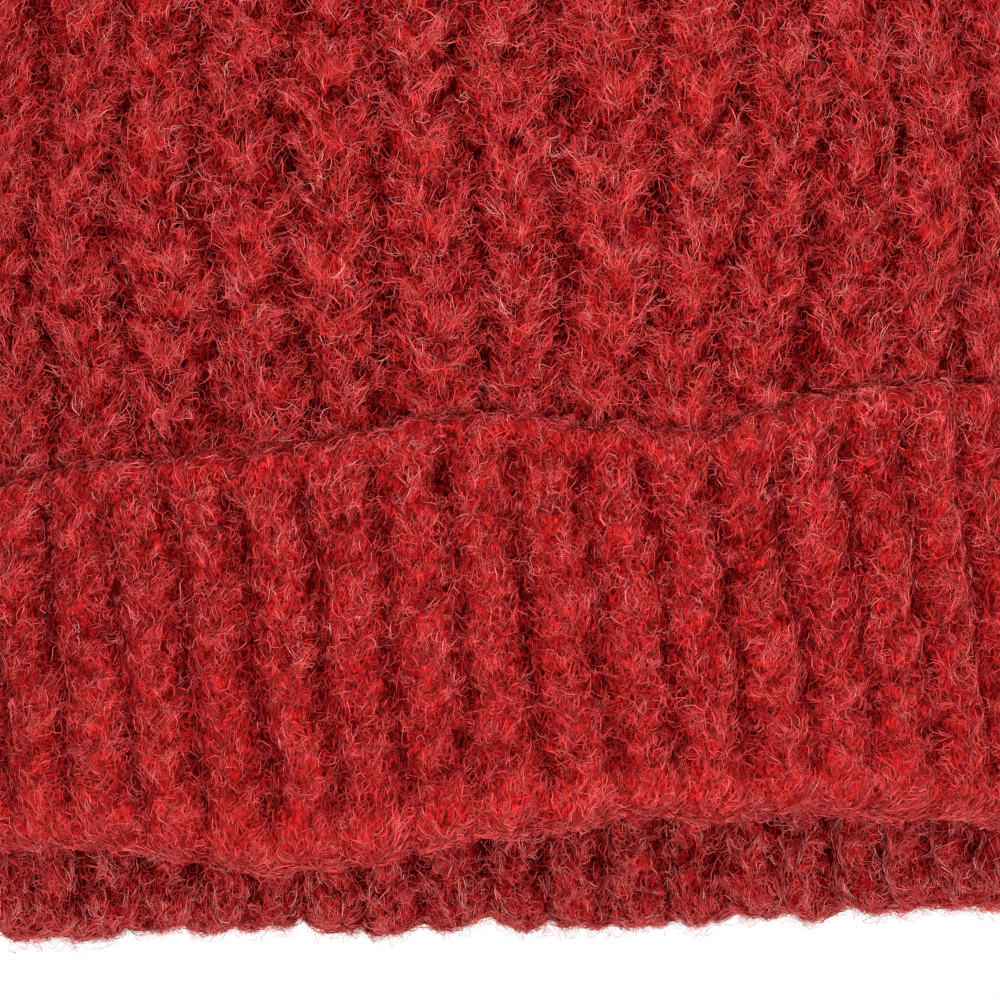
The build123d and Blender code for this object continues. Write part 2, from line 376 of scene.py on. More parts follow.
def sample(grid, i, j):
    """A grid's values at fractional rows i and columns j, linear between the four points about each."""
    low_i = np.clip(np.floor(i).astype(int), 0, len(grid) - 2)
    low_j = np.floor(j).astype(int)
    a, b = low_j % grid.shape[1], (low_j + 1) % grid.shape[1]
    fi, fj = np.clip(i - low_i, 0, 1), j - low_j
    if grid.ndim == 3:
        fi, fj = fi[..., None], fj[..., None]
    low = grid[low_i, a] * (1 - fj) + grid[low_i, b] * fj
    return low * (1 - fi) + (grid[low_i + 1, a] * (1 - fj) + grid[low_i + 1, b] * fj) * fi


def nearest(grid, i, j):
    """The grid's value at the point nearest to each fractional row and column."""
    return grid[np.clip(np.round(i).astype(int), 0, len(grid) - 1), np.round(j).astype(int) % grid.shape[1]]


def knit_face(points, out, height, legs, heading, swirl_cells, crisp, rng):
    """What the fuzz needs to know of a face: points, normals, the size of its mesh cells, its stitches, how
    crisp its fibres stand out, and two that are soft noise on a net of swirl_cells: a tint, with white noise
    too, and a heading that wanders, for matted fibres."""
    across = np.linalg.norm(np.roll(points, -1, 1) - points, axis=2)
    upward = np.linalg.norm(np.diff(points, axis=0, append=2 * points[-1:] - points[-2:-1]), axis=2)
    swirl = np.pi * 1.5 * soft_noise(height.shape, *swirl_cells, rng)
    tint = 0.6 * soft_noise(height.shape, *swirl_cells, rng)
    tint = tint + rng.uniform(-0.9, 0.9, height.shape)
    return {"points": points, "out": out, "across": across, "upward": upward, "height": height,
            "legs": legs, "heading": heading, "swirl": swirl, "tint": tint, "crisp": crisp}


def strips(name, paths, sideways, width, shade, material):
    """A piece of flat fibres. paths is fibres x points x 3: each point but the last gives two corners, half a
    width to each side along sideways, and the last is the tip. Its map holds (shade, share of the length)."""
    count, steps = len(paths), paths.shape[1] - 1
    half = sideways[:, :-1] * (width[:, None] / 2 * np.linspace(1, 0.6, steps))[:, :, None]
    pairs = np.stack([paths[:, :-1] - half, paths[:, :-1] + half], 2).reshape(count, 2 * steps, 3)
    points = np.concatenate([pairs, paths[:, -1:]], 1)
    quads = [[2 * k, 2 * k + 1, 2 * k + 3, 2 * k + 2] for k in range(steps - 1)]
    pattern = np.array(sum(quads, []) + [2 * steps - 2, 2 * steps - 1, 2 * steps])
    corners = np.arange(count)[:, None] * (2 * steps + 1) + pattern
    sizes = np.tile([4] * (steps - 1) + [3], count)
    edge = np.array([-0.008, 0.008] * steps + [0.0])
    length = np.append(np.repeat(np.arange(steps) / steps, 2), 1.0)
    uv = np.stack([shade[:, None] + edge[pattern], np.tile(length[pattern], (count, 1))], 2)
    return mesh_piece(name, points.reshape(-1, 3), corners.ravel(), sizes, material, False, uv.reshape(-1, 2))


# One brushed wool-blend fibre: red with a soft gloss, and darkened towards its root in the yarn as painted
# shade. Its shade, from 0 to 1, differs at random from fibre to fibre and also carries painted shade and
# highlight: it runs from the deep reds of fibres lying deep to the pale pink of a stray one against the
# light.
SHADES = (0.0, 0.25, 0.5, 0.72, 0.88, 1.0)


def brushed_fibre(name, reds):
    """A material for fibres whose shade picks a colour from reds, one for each of SHADES."""
    made, tree = new_material(name)
    spot = node(tree, "SeparateXYZ", {0: node(tree, "UVMap", uv_map="OFBake").outputs[0]})
    picked = ramp(tree, spot.outputs["X"], list(zip(SHADES, reds)))
    # Painted shade: each fibre darkens towards its root, to 0.3 of its colour there.
    painted_root_shade = {0: spot.outputs["Y"], "From Max": 0.5, "To Min": 0.3, "To Max": 1.0}
    root_shade = node(tree, "MapRange", painted_root_shade).outputs[0]
    shaded = node(tree, "VectorMath", {0: picked, "Scale": root_shade}, operation="SCALE").outputs[0]
    gloss = node(tree, "BsdfPrincipled", {"Base Color": shaded, "Roughness": 0.5, "Specular IOR Level": 0.02})
    node(tree, "OutputMaterial", {0: gloss.outputs[0]})
    return made


body_fibre = brushed_fibre(
    "brushed_wool_blend_fibre", ("#100000", "#5c0102", "#b81f20", "#dc4a4a", "#e67876", "#eeb0aa")
)

LOCK_GAP = 0.18 * MM            # how far the fibres of one lock start from each other
TURNED_ROUND = 0.45             # share of the locks that lie the other way
TINT_SHARE = 0.13               # how much the face's tint counts in a fibre's shade
PAINTED_HOLLOW_SHADE = 0.32             # and how much painted shade darkens it for lying deep between stitches
PALE_FROM, PALE_SHARE = 0.68, 0.45      # shades over the first are drawn back towards it to this share


def fuzz(name, face, weight, seed, count, bend, size, lift, tone,
         field="swirl", points=4, lock=3, fibre=body_fibre, standing=False):
    """A piece of fibres laid over a face, in locks of a few that cling together. A lock starts at a random
    place, as likely as weight, and its fibres step along the face: the heading is the field's there, plus the
    lock's share of spread, plus a turn that grows by curl. A fibre's height over the face is a sine arch
    between low and high, or rises to its tip if it is standing. bend is (spread, curl), size (length, width)
    and lift (low, high) in millimetres, and tone is the shades' mean and how much they differ."""
    (spread, curl), (length, width), (low, high), (bright, vary) = bend, size, lift, tone
    rng = np.random.default_rng(seed)
    columns, locks = weight.shape[1], count // lock
    count = locks * lock
    apart = 0 if lock == 1 else 1           # a lone fibre has no others to differ from
    share = (face["across"] * face["upward"] * weight).ravel()
    cell = rng.choice(share.size, locks, p=share / share.sum())
    i = np.repeat(cell // columns + rng.random(locks), lock)
    j = np.repeat(cell % columns + rng.random(locks), lock)
    top_row = len(weight) - 1
    i = np.clip(i + apart * rng.normal(0, LOCK_GAP, count) / nearest(face["upward"], i, j), 0, top_row)
    j = j + apart * rng.normal(0, LOCK_GAP, count) / nearest(face["across"], i, j)
    differ = 0.75 * np.repeat(rng.normal(0, vary, locks), lock) + 0.65 * rng.normal(0, vary, count)
    shade = bright + TINT_SHARE * nearest(face["tint"], i, j) + differ * nearest(face["crisp"], i, j)
    shade += 0.04 * (nearest(face["legs"], i, j) - 0.4)         # the V's legs catch the light
    # Painted shade for fibres that lie deep between the stitches.
    shade -= PAINTED_HOLLOW_SHADE * np.clip(0.6 - sample(face["height"], i, j), 0, 1)
    shade = np.minimum(shade, PALE_FROM + PALE_SHARE * (shade - PALE_FROM))
    sizes = length * MM * rng.uniform(0.5, 1.4, count)
    own = np.repeat(rng.normal(0, spread, locks), lock) + apart * rng.normal(0, 0.2, count)
    own = own + np.pi * np.repeat(rng.random(locks) < TURNED_ROUND, lock)
    turn = np.repeat(rng.normal(0, curl, locks), lock) + apart * rng.normal(0, 0.5, count)
    arch = low * MM + (high - low) * MM * rng.random(count) ** 1.5
    roll = rng.normal(0, 0.9, count)
    paths, outs = [], []
    for k in range(points):
        t = k / (points - 1)
        over = low * MM / 2 + arch * (t if standing else math.sin(math.pi * (0.12 + 0.76 * t)))
        here = sample(face["out"], i, j)
        paths.append(sample(face["points"], i, j) + here * over[:, None])
        outs.append(here)
        heading = nearest(face[field], i, j) + own + turn * (t - 0.5) + rng.normal(0, curl * 0.15, count)
        step = sizes / (points - 1)
        i = np.clip(i + step * np.cos(heading) / nearest(face["upward"], i, j), 0, top_row)
        j = j + step * np.sin(heading) / nearest(face["across"], i, j)
    paths, outs = np.stack(paths, 1), np.stack(outs, 1)
    flat = unit(np.cross(np.gradient(paths, axis=1), outs))
    sideways = flat * np.cos(roll)[:, None, None] + outs * np.sin(roll)[:, None, None]
    widths = width * MM * rng.uniform(0.7, 1.25, count)
    made = strips(name, paths, sideways, widths, np.clip(shade, 0.02, 0.95), fibre)
    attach(made, "hat")
    return made


rng = np.random.default_rng(12)
face_rows = slice(0, len(body_outer))
# On the body the painted shade for lying deep is held back: its height counts as no lower than 0.35.
body_face = knit_face(body_points[face_rows], body_out[face_rows], np.maximum(body_height, 0.35), body_legs,
                      body_heading, (70, 190), np.ones(face_shape), rng)
body_face["tint"] *= 0.6                   # chunky yarn takes the light more evenly than the cuff's
shown_points = body_face["points"]
shown = smooth_step(shown_points[:, :, 2], 50 * MM, 56 * MM)
# Fine fibres where the hat is seen from close by, at the lower front, and broad ones elsewhere.
close_by = smooth_step(-shown_points[:, :, 1], 14 * MM, 46 * MM)
close_by *= 1 - smooth_step(shown_points[:, :, 2], 130 * MM, 152 * MM)
fine, broad = shown * close_by, shown * (1 - close_by)
tuft_spots = body_legs**1.5 + 0.02
high_spots = 0.7 + 0.3 * np.clip(body_height, 0, 1)
from_middle = np.hypot(shown_points[:, :, 0], shown_points[:, :, 1])
off_crown = smooth_step(from_middle, 25 * MM, 40 * MM)
about_snap = smooth_step(from_middle, 9.5 * MM, 11 * MM) * (1 - off_crown) * shown
pieces = [
    fuzz("body_tufts_front", body_face, fine * tuft_spots, seed=101, count=39000, field="heading",
         bend=(0.35, 1.7), size=(3.5, 0.08), lift=(0.1, 1.0), tone=(0.645, 0.23)),
    fuzz("body_matted_front_a", body_face, fine * high_spots, seed=102, count=39000,
         bend=(1.0, 3.4), size=(3.0, 0.08), lift=(-0.1, 1.1), tone=(0.595, 0.23)),
    fuzz("body_matted_front_b", body_face, fine, seed=106, count=9000, points=5,
         bend=(1.4, 3.8), size=(4.2, 0.075), lift=(0.2, 1.5), tone=(0.62, 0.25)),
    fuzz("body_tufts_back", body_face, broad * tuft_spots, seed=103, count=33000, field="heading", points=3,
         bend=(0.35, 0.7), size=(4.8, 0.24), lift=(0.1, 1.0), tone=(0.63, 0.16)),
    fuzz("body_matted_back", body_face, broad, seed=104, count=33000, points=3,
         bend=(0.8, 2.0), size=(4.4, 0.24), lift=(0.0, 1.2), tone=(0.58, 0.16)),
    fuzz("crown_fuzz", body_face, about_snap, seed=107, count=6000, points=3, standing=True,
         bend=(1.5, 1.5), size=(2.6, 0.2), lift=(0.3, 4.2), tone=(0.56, 0.15)),
    fuzz("body_stray", body_face, shown * (0.25 + close_by) * off_crown, seed=105, count=2600, points=6,
         lock=1, bend=(1.5, 2.0), size=(7.0, 0.07), lift=(0.6, 2.6), tone=(0.58, 0.15)),
]

# ---- Turned-up cuff --------------------------------------------------------------------------
# A finer rib, knitted first and folded up on itself at the rim. Inner layer, fold and outer layer are one
# fabric. The outer layer ends in a rolled cast-on edge, and stands taller on one side.

CUFF_RIBS = 53                  # ribs round the cuff, 10.9 mm apart
CUFF_ROW = 6.9 * MM             # height of one stitch
CUFF_COLUMNS = CUFF_RIBS * 9
CUFF_HEIGHT = 67.0 * MM         # top edge at the middle of the front
CUFF_SLOPE = math.tan(math.radians(5.4))
CUFF_LEAN = 0.10                # sideways for each unit of height, towards -X
CUFF_PHASE = -0.443             # places the crests round the hat, in ribs
RIM_TURN = 7.0 * MM             # height over which the rim rounds
EDGE_TURN = 3.2 * MM            # radius of the rolled edge
# The rim lifts and sags along the front, and so does the top edge: (place along X, rise) in millimetres.
RIM_WAVE = ((-95, 6), (-77, 6.4), (-60, 5.3), (-24, 1.0), (0, 3.6), (31, 7.9), (55, 8.5), (77, 8.2), (95, 7))
EDGE_WAVE = (
    (-95, 0), (-77, 0), (-49, 1.0), (-26, 0), (-8, 1.5), (10, 0.6), (24, -2.6), (38, -4.6), (54, -2.4),
    (77, 0), (95, 0),
)

cuff_turns, cuff_round = even_turns(CUFF_COLUMNS, cuff_high.x, cuff_high.y)
reach = FOLD_GAP + 2 * KNIT     # from the outer face to the inner one
rim_angle = np.linspace(0, np.pi, 22)
inner_z = np.linspace(body_low.z, RIM_TURN, 34)[:-1]
outer_z = np.linspace(RIM_TURN, CUFF_HEIGHT - EDGE_TURN, 52)[1:]
edge_angle = np.linspace(0, np.pi, 11)[1:]
between_z = np.linspace(CUFF_HEIGHT - EDGE_TURN, RIM_TURN + 2 * MM, 10)[1:]
join_z = np.linspace(RIM_TURN + 2 * MM, body_low.z, 7)
# The section of the cuff as it is walked: down the inner face, round the rim, up the outer face, over the
# rolled edge, down between the layers and back up to the join.
cuff_in = np.concatenate([
    np.full(len(inner_z), reach),
    reach / 2 * (1 + np.sign(np.cos(rim_angle)) * np.abs(np.cos(rim_angle)) ** 0.8),
    np.zeros(len(outer_z)), EDGE_TURN * (1 - np.cos(edge_angle)),
    np.full(len(between_z), KNIT + 0.2 * MM), np.full(len(join_z), KNIT + FOLD_GAP),
])
cuff_z = np.concatenate([
    inner_z, RIM_TURN * (1 - np.sin(rim_angle) ** 0.8), outer_z,
    CUFF_HEIGHT - EDGE_TURN + EDGE_TURN * np.sin(edge_angle), between_z, join_z,
])
rim_row = len(inner_z) + len(rim_angle) // 2
edge_row = len(inner_z) + len(rim_angle) + len(outer_z)
last_row = edge_row + len(edge_angle)
rows = np.arange(len(cuff_z))[:, None]
outer_layer = (rows >= rim_row) & (rows < last_row + len(between_z))
cuff_base = ovals(np.stack([cuff_high.x - cuff_in, cuff_high.y - cuff_in, cuff_z], 1), cuff_turns)


def along_front(knots, rng):
    """Rise of an edge at each column: the knots' curve in front, small soft waves behind."""
    x, y = cuff_base[edge_row, :, 0], cuff_base[edge_row, :, 1]
    places, rises = np.array(knots).T * MM
    front = smooth_step(-y, 0, 30 * MM)
    small = soft_noise((2, CUFF_COLUMNS), 1, 23, rng)[0] * 1.2 * MM
    small = small + soft_noise((2, CUFF_COLUMNS), 1, 97, rng)[0] * 0.9 * MM
    return front * smooth_curve(x, places, rises) + (1 - front) * 1.5 * MM + small * (1 - 0.25 * front)


rng = np.random.default_rng(21)
rim_lift = np.maximum(along_front(RIM_WAVE, rng), 0)
edge_lift = along_front(EDGE_WAVE, rng) + cuff_base[edge_row, :, 0] * CUFF_SLOPE
# Each rib lifts the edge a little, in scallops.
edge_lift += 0.5 * MM * np.cos(2 * np.pi * (np.arange(CUFF_COLUMNS) * CUFF_RIBS / CUFF_COLUMNS + 0.2))
up_share = np.clip((cuff_z - RIM_TURN) / (CUFF_HEIGHT - RIM_TURN), 0, 1.2)[:, None]
at_rim = 1 - smooth_step(cuff_z, 3 * MM, 30 * MM)[:, None]
cuff_base[:, :, 2] += np.where(outer_layer, up_share * edge_lift, 0) + at_rim * rim_lift
cuff_out = outward(cuff_base)
cuff_shape = cuff_base.shape[:2]
walked = np.concatenate([[0], np.cumsum(np.linalg.norm(np.diff(cuff_base, axis=0), axis=2).mean(1))])
leaning = np.where(outer_layer, cuff_base[:, :, 2] - 31 * MM, -31 * MM) * CUFF_LEAN * CUFF_RIBS / cuff_round
cuff_wale = (np.arange(CUFF_COLUMNS) / CUFF_COLUMNS - 0.5) * CUFF_RIBS + CUFF_PHASE + leaning
cuff_wale = cuff_wale + 0.14 * soft_noise(cuff_shape, 24, 53, rng)
cuff_row = walked[:, None] / CUFF_ROW + 0.35 * soft_noise(cuff_shape, 12, 70, rng)
cuff_row = np.where(rows < rim_row, -cuff_row, cuff_row)
cuff_height, cuff_legs, cuff_heading = stitches(cuff_wale, cuff_row, 0.28, 0.5, 1.7)
cuff_heading = np.where(rows < rim_row, np.pi - cuff_heading, cuff_heading)
# Fading of the ribs: by a third at the rim and by two thirds in front there, nearly gone on the rolled edge
# and between the layers.
from_top = CUFF_HEIGHT + edge_lift - cuff_base[:, :, 2]
in_front = smooth_step(-cuff_base[:, :, 1], 0, 30 * MM)
rib_share = 1 - (0.3 + 0.4 * in_front) * np.exp(-(((cuff_z[:, None] - 1 * MM) / (5 * MM)) ** 2))
rib_share = rib_share * np.where(outer_layer, 0.15 + 0.85 * smooth_step(from_top, 1.5 * MM, 6 * MM), 1)
rib_share = rib_share * np.where(rows > last_row, 0.15, 1)
CUFF_DEPTH = 3.8 * MM           # valley to crest
cuff_height = cuff_height * (1 + 0.25 * soft_noise(cuff_shape, 34, 110, rng))
cuff_height = 1 - (1 - cuff_height) * rib_share
cuff_rise = (cuff_height - 1) * CUFF_DEPTH + 0.9 * MM + 0.5 * MM * soft_noise(cuff_shape, 44, 150, rng)
cuff_rise = np.where(rows > last_row, np.clip(cuff_rise, -0.4 * MM, 0), cuff_rise)
cuff_points = cuff_base + cuff_out * cuff_rise[:, :, None]
cuff_points[:, :, 2] = np.maximum(cuff_points[:, :, 2], 0.1 * MM)
# Painted shade: the yarn's lie, low in the valleys, and lower still on the inner layer.
cuff_lie = 0.3 + 0.7 * cuff_height - 0.15 * (rows < rim_row)
cuff_knit = closed_grid("cuff_fabric", cuff_points, knit_yarn, cuff_lie)
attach(cuff_knit, "hat")
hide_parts("turned_up_cuff")

# Along the fold and the rolled edge the yarn runs round the hat, so the tufts turn towards level there.
at_edge = np.exp(-((from_top / (2.5 * MM)) ** 2)) * outer_layer
at_fold = np.exp(-(((cuff_z[:, None] - 1 * MM) / (3.5 * MM)) ** 2))
level = np.maximum(0.3 * at_edge, 0.12 * at_fold)
cuff_heading = cuff_heading * (1 - level) + level * np.pi / 2
rng = np.random.default_rng(22)
# The cuff is felted most at the fold, where it is handled, and near its top the fibres are still crisp.
cuff_crisp = 0.7 + 0.6 * np.clip(up_share, 0, 1) * outer_layer + 0.3 * ~outer_layer
cuff_face = knit_face(cuff_points, cuff_out, cuff_height, cuff_legs, cuff_heading, (66, 210), cuff_crisp, rng)
# Painted light: the fibres at the rolled edge are drawn darker, a painted shade, and at the fold lighter, a
# painted highlight.
cuff_face["tint"] += 0.6 * at_fold - 0.35 * at_edge
front = smooth_step(-cuff_points[:, :, 1], 18 * MM, 54 * MM)
on_face = (rows >= rim_row - 3) & (rows < last_row - 2)
inside = (rows < rim_row + 2) & (cuff_points[:, :, 2] < 34 * MM)
far_rim = inside * smooth_step(cuff_points[:, :, 1], 20 * MM, 36 * MM) * (cuff_points[:, :, 2] < 20 * MM)
tuft_spots = np.maximum(0.15 + cuff_legs**1.5, level) * np.clip(cuff_height, 0.1, 1)
near, away = on_face * front, on_face * (1 - front)
# The same fibre, rubbed: its reds are a little greyer and its light ones duller.
rubbed_fibre = brushed_fibre(
    "rubbed_wool_blend_fibre", ("#100202", "#5c0606", "#b52526", "#d15050", "#dc7b79", "#e8aea8")
)
pieces = [
    fuzz("cuff_tufts_front", cuff_face, near * tuft_spots, seed=201, count=36000, field="heading",
         bend=(0.4, 1.7), size=(3.3, 0.13), lift=(0.1, 0.8), tone=(0.51, 0.18), fibre=rubbed_fibre),
    fuzz("cuff_matted_front_a", cuff_face, near, seed=202, count=36000, fibre=rubbed_fibre,
         bend=(1.0, 3.4), size=(3.0, 0.13), lift=(-0.1, 0.9), tone=(0.49, 0.18)),
    fuzz("cuff_matted_front_b", cuff_face, near, seed=209, count=9000, points=5, fibre=rubbed_fibre,
         bend=(1.4, 3.8), size=(4.2, 0.11), lift=(0.2, 1.6), tone=(0.53, 0.18)),
    fuzz("cuff_tufts_back", cuff_face, away * tuft_spots, seed=203, count=16500, field="heading", points=3,
         bend=(0.4, 0.7), size=(4.4, 0.24), lift=(0.1, 1.0), tone=(0.60, 0.12), fibre=rubbed_fibre),
    fuzz("cuff_matted_back", cuff_face, away, seed=204, count=16500, points=3, fibre=rubbed_fibre,
         bend=(0.8, 2.0), size=(4.4, 0.24), lift=(0.0, 1.2), tone=(0.57, 0.12)),
    # The far rim's inner face takes little of the lamps and the room, so its fibres are drawn lighter than
    # the cuff's, painted light; the fringe on its edge is a painted highlight against the light.
    fuzz("rim_tufts", cuff_face, far_rim * (0.04 + cuff_legs**1.5), seed=205, count=9000, field="heading",
         bend=(0.5, 1.8), size=(3.1, 0.09), lift=(0.1, 1.0), tone=(0.73, 0.27)),
    fuzz("rim_matted", cuff_face, far_rim * np.clip(cuff_height, 0.15, 1), seed=206, count=11400,
         bend=(0.9, 3.2), size=(3.3, 0.09), lift=(-0.1, 1.3), tone=(0.68, 0.27)),
    fuzz("rim_fringe", cuff_face, far_rim * at_fold, seed=210, count=4800, standing=True,
         bend=(1.5, 1.5), size=(1.9, 0.07), lift=(0.0, 2.6), tone=(0.70, 0.2)),
    fuzz("inside_matted", cuff_face, inside * (1 - far_rim), seed=207, count=10200, points=3,
         bend=(0.8, 2.0), size=(4.6, 0.26), lift=(0.0, 1.2), tone=(0.54, 0.12)),
    fuzz("cuff_stray", cuff_face, (on_face | inside) * (0.25 + front + 4 * far_rim + 3 * at_edge), seed=208,
         count=4600, points=6, lock=1, bend=(1.5, 2.0), size=(6.0, 0.07), lift=(0.6, 2.6), tone=(0.58, 0.12)),
]

# ---- Back seam -------------------------------------------------------------------------------
# The tube was knitted flat and closed up the back with the same yarn in mattress stitch, which leaves a
# soft ridge of paired bars on the inside.


def circle(count):
    """Even angles round a circle."""
    return np.arange(count) * 2 * np.pi / count


def tube(name, middle, half_a, half_b, axis_a, axis_b, turns, material):
    """A closed piece along a path: at each point of middle a ring of turns corners, middle + half_a
    cos(angle) axis_a + half_b sin(angle) axis_b, with half sizes as points x corners, and closed ends."""
    angle = circle(turns)
    rings = (
        middle[:, None, :] + (half_a * np.cos(angle))[:, :, None] * axis_a
        + (half_b * np.sin(angle))[:, :, None] * axis_b
    )
    rings_count = len(middle)
    points = np.concatenate([rings.reshape(-1, 3), rings[:1].mean(1), rings[-1:].mean(1)])
    i, j = np.meshgrid(np.arange(rings_count - 1), np.arange(turns), indexing="ij")
    after = (j + 1) % turns
    sides = np.stack([i * turns + j, i * turns + after, (i + 1) * turns + after, (i + 1) * turns + j], 2)
    j = np.arange(turns)
    first, last = rings_count * turns, rings_count * turns + 1
    start = np.stack([(j + 1) % turns, j, 0 * j + first], 1)
    top = (rings_count - 1) * turns
    end = np.stack([top + j, top + (j + 1) % turns, 0 * j + last], 1)
    corners = np.concatenate([sides.ravel(), start.ravel(), end.ravel()])
    sizes = np.array([4] * (len(sides) * turns) + [3] * (2 * turns))
    return mesh_piece(name, points, corners, sizes, material, True)


def rounded_ends(length_share, end_share):
    """1 along a piece, falling to nearly 0 at both ends as a quarter circle does."""
    near = np.clip(np.minimum(length_share, 1 - length_share) / end_share, 0.02, 1)
    return np.sqrt(1 - (1 - near) ** 2)


east, north, up = np.eye(3)
seam_low, seam_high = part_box("back_seam_yarn")
SEAM_STITCH = 7.0 * MM
SEAM_ROWS, SEAM_CORNERS = 300, 14
seam_z = np.linspace(seam_low.z + 0.3 * MM, seam_high.z - 0.3 * MM, SEAM_ROWS)
wall = body_path(KNIT + 0.3 * MM, 1 * MM)
seam_y = np.interp(seam_z, wall[:, 2], wall[:, 1]) - 1.2 * MM
seam_middle = np.stack([0 * seam_z, seam_y, seam_z], 1)
ends = rounded_ends(np.linspace(0, 1, SEAM_ROWS), 0.02)[:, None]
turn = circle(SEAM_CORNERS)
bars = 0.5 + 0.5 * np.cos(2 * np.pi * seam_z[:, None] / SEAM_STITCH + 1.6 * np.abs(np.cos(turn)))
seam = tube("back_seam_ridge", seam_middle, ends * (1.6 + 0.4 * bars) * MM, ends * (0.75 + 0.25 * bars) * MM,
            east, north, SEAM_CORNERS, knit_yarn)
# A middle lie, so the yarn's painted shade darkens the seam only part way.
set_lie(seam, np.full(len(seam.data.vertices), 0.7))
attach(seam, "hat")
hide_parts("back_seam_yarn")

# ---- Crown gather yarn -----------------------------------------------------------------------
# One round of two-ply yarn threaded through the last stitches and pulled tight, so that they meet about
# the crown hole. It was knotted off inside.


def twisted_ring(name, centre, radius, thick, plies, twists, upright, material):
    """A closed loop of plied yarn: a torus whose section has a bulge for each ply, and the section turns
    evenly so that each ply winds twists times round the loop. It lies flat, or stands upright across Y."""
    around, across = 160, 16
    u, v = circle(around)[None, :], circle(across)[:, None]
    bulge = thick * (0.82 + 0.18 * np.abs(np.cos(plies / 2 * (v + twists * u))))
    flat = radius + bulge * np.cos(v)
    points = np.stack([flat * np.cos(u), flat * np.sin(u), bulge * np.sin(v) + 0 * u], 2)
    if upright:
        points = points[:, ::-1, (0, 2, 1)]
    return closed_grid(name, points + np.array(centre), material)


gather_low, gather_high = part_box("crown_gather_yarn")
gather_thick = (gather_high.z - gather_low.z) / 2
gather = twisted_ring("gather_yarn_loop", (0, 0, gather_low.z + gather_thick), gather_high.x - gather_thick,
                      gather_thick, 2, 4, False, knit_yarn)
# A middle lie, so the yarn's painted shade darkens the loop only part way.
set_lie(gather, np.full(len(gather.data.vertices), 0.7))
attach(gather, "hat")
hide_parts("crown_gather_yarn")

# ---- Care label ------------------------------------------------------------------------------
# A blank tape of woven polyester satin, cut across, with both ends folded under. One end is sewn to the
# seam, so it turns like a page.

satin, tree = new_material("woven_polyester_satin")
place = node(tree, "TexCoord").outputs["Object"]
THREAD = 0.25 * MM
weft = node(tree, "TexWave", {"Vector": place, "Scale": 0.1 / THREAD, "Distortion": 0.6, "Detail": 1.0},
            bands_direction="Z").outputs["Fac"]
warp = node(tree, "TexWave", {"Vector": place, "Scale": 0.1 / THREAD, "Distortion": 0.6, "Detail": 1.0},
            bands_direction="X").outputs["Fac"]
weave = node(tree, "Math", {0: weft, 1: warp}, operation="MULTIPLY").outputs[0]
cream = ramp(tree, weave, [(0.0, "#d9d3c6"), (1.0, "#f4f0e6")])
bump = node(tree, "Bump", {"Height": weave, "Strength": 0.3, "Distance": 0.1 * MM}).outputs[0]
shiny = node(tree, "BsdfPrincipled", {
    "Base Color": cream, "Roughness": 0.38, "Sheen Weight": 0.3, "Anisotropic": 0.5, "Normal": bump,
})
node(tree, "OutputMaterial", {0: shiny.outputs[0]})

label_low, label_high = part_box("care_label")
label_turn = math.atan2(label_low.y - label_high.y + 0.8 * MM, label_high.x - label_low.x)
LABEL_LENGTH = 28 * MM          # as it hangs, with 5 mm more folded under at each end
LABEL_ROWS, LABEL_CORNERS = 90, 40
label_out = np.array([math.cos(label_turn), math.sin(label_turn), 0])
label_face = np.array([-math.sin(label_turn), math.cos(label_turn), 0])
label_along = np.linspace(0, 1, LABEL_ROWS)
thick = 0.14 * MM + 0.12 * MM * (np.abs(label_along - 0.5) > 0.32)
stitch_dent = 0.07 * MM * (np.abs(np.abs(label_along - 0.5) - 0.34) < 0.008)
half_thick = (thick - stitch_dent)[:, None] * rounded_ends(label_along, 0.01)[:, None]
bow = 0.5 * MM * np.sin(np.pi * label_along) + 0.25 * MM * np.sin(3 * np.pi * label_along)
hinge = np.array([0, label_high.y - 0.4 * MM, (label_low.z + label_high.z) / 2])
label_middle = hinge + label_along[:, None] * LABEL_LENGTH * label_out + bow[:, None] * label_face
half_height = (label_high.z - label_low.z) / 2 - 0.2 * MM
corner = circle(LABEL_CORNERS)
square = 1 / np.maximum(np.abs(np.cos(corner)), np.abs(np.sin(corner)))     # makes the ring a rectangle
label = tube("blank_care_label", label_middle, half_thick * square, half_height * square + 0 * half_thick,
             label_face, up, LABEL_CORNERS, satin)
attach(label, "label")
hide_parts("care_label")

# ---- Washer and press snap -------------------------------------------------------------------
# A pressed felt washer, a rivet and a stud fasten the lower half of the snap to the crown. The socket in
# the pom's base holds a wire ring that grips the stud. They are stock haberdashery.


def mottled(tree, size, dark, light, **settings):
    """Noise of about this size over a piece, and the colour it picks, from dark at 0.3 to light at 0.7."""
    place = node(tree, "TexCoord").outputs["Object"]
    noise = node(tree, "TexNoise", {"Vector": place, "Scale": 0.5 / size, **settings}).outputs["Fac"]
    return noise, ramp(tree, noise, [(0.3, dark), (0.7, light)])


def dress(node_name, material):
    """Gives a CAD node's object a material of its own in every slot."""
    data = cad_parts[node_name].data
    data.materials.clear()
    data.materials.append(material)


# Felt: matt, with short pressed fibres lying every way, drawn thicker than they are so that they show.
LINT = 0.3 * MM
felt, tree = new_material("pressed_wool_felt")
lint, felt_red = mottled(tree, LINT, "#33060a", "#7c171c", Detail=4.0, Distortion=2.0)
bump = node(tree, "Bump", {"Height": lint, "Strength": 0.7, "Distance": LINT}).outputs[0]
matt = node(tree, "BsdfPrincipled", {
    "Base Color": felt_red, "Roughness": 0.95, "Normal": bump, "Specular IOR Level": 0.1,
})
node(tree, "OutputMaterial", {0: matt.outputs[0]})
dress("crown_washer", felt)

